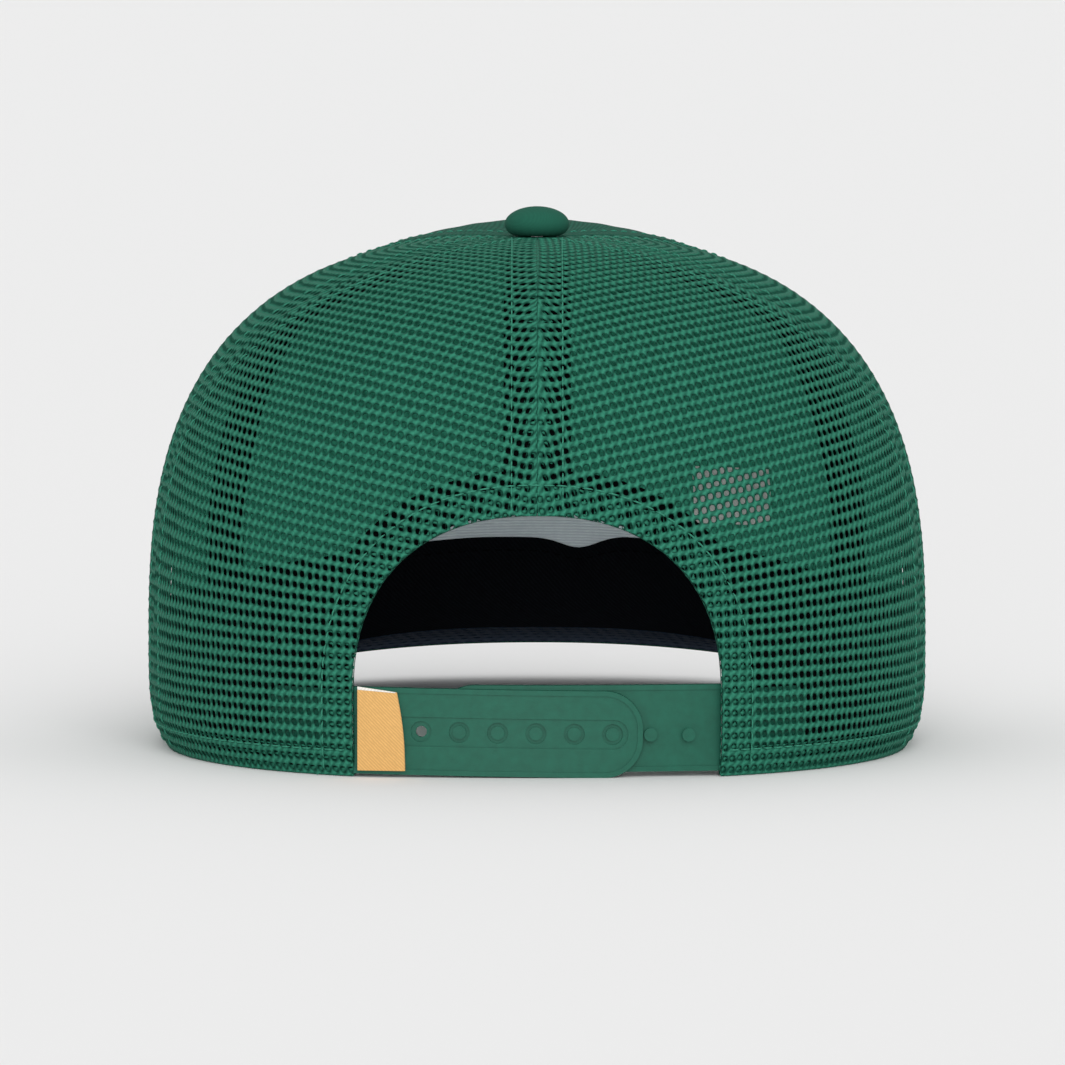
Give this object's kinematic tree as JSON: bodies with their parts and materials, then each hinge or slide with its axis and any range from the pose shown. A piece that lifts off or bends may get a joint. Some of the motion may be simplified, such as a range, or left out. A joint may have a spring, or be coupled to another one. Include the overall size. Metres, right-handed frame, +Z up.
{
  "type": "trucker mesh cap",
  "caption": "Trucker cap with a padded front panel, mesh back and sides, a curved brim, a covered top button and a snap closure across an arched gap at the back.",
  "frame": {"origin": "middle of the footprint on the surface that the cap stands on, under the brim and crown together", "axes": "+Z up, brim towards -Y, snap closure and arched gap towards +Y, the wearer's left is +X"},
  "size_m": [0.1906, 0.2581, 0.1313],
  "materials": {
    "green_mesh": "open warp-knit mesh",
    "green_front_fabric": "smooth knit face",
    "foam": "soft open-cell foam",
    "green_knit_backing": "flat knit backing",
    "grey_lining": "fine horizontal ribs",
    "white_label": "smooth satin tape",
    "black_tape": "flat woven tape",
    "black_sweatband": "soft brushed cotton",
    "sweatband_backing": "stiff non-woven",
    "brim_board": "moulded sheet",
    "green_brim_fabric": "twill",
    "navy_brim_fabric": "twill",
    "green_button_fabric": "twill stretched over a dome",
    "button_metal": "pressed sheet",
    "green_strap_plastic": "satin moulded",
    "orange_label": "damask weave"
  },
  "bodies": {
    "cap": {"left_back_mesh": "green_mesh", "right_back_mesh": "green_mesh", "left_side_mesh": "green_mesh", "right_side_mesh": "green_mesh", "front_face_fabric": "green_front_fabric", "front_foam": "foam", "front_backing": "green_knit_backing", "front_lining_band": "grey_lining", "care_label": "white_label", "centre_back_seam_tape": "black_tape", "left_back_seam_tape": "black_tape", "right_back_seam_tape": "black_tape", "left_front_seam_tape": "black_tape", "right_front_seam_tape": "black_tape", "arch_tape": "black_tape", "sweatband_backing": "sweatband_backing", "sweatband": "black_sweatband", "brim_board": "brim_board", "brim_top_cover": "green_brim_fabric", "brim_under_cover": "navy_brim_fabric", "button_cover": "green_button_fabric", "button_shell": "button_metal", "button_rivet": "button_metal", "hole_strap_tab": "green_strap_plastic", "stud_strap_tab": "green_strap_plastic"},
    "hole_strap": {"hole_strap": "green_strap_plastic"},
    "stud_strap": {"stud_strap": "green_strap_plastic"},
    "label": {"woven_label": "orange_label"}
  },
  "joints": [
    {"name": "hole_strap_swing", "type": "hinge", "parent": "cap", "child": "hole_strap", "pos_m": [0.0432, 0.1202, 0.01102], "axis": [0, 0, -1], "range_deg": [0, 30], "stiffness_Nm_per_rad": 0.015},
    {"name": "stud_strap_swing", "type": "hinge", "parent": "cap", "child": "stud_strap", "pos_m": [-0.0432, 0.11614, 0.01142], "axis": [0, 0, -1], "range_deg": [0, 30], "stiffness_Nm_per_rad": 0.015},
    {"name": "label_flap", "type": "hinge", "parent": "hole_strap", "child": "label", "pos_m": [0.0422, 0.12066, 0.01112], "axis": [0, 0, -1], "range_deg": [0, 35], "stiffness_Nm_per_rad": 0.0004}
  ]
}
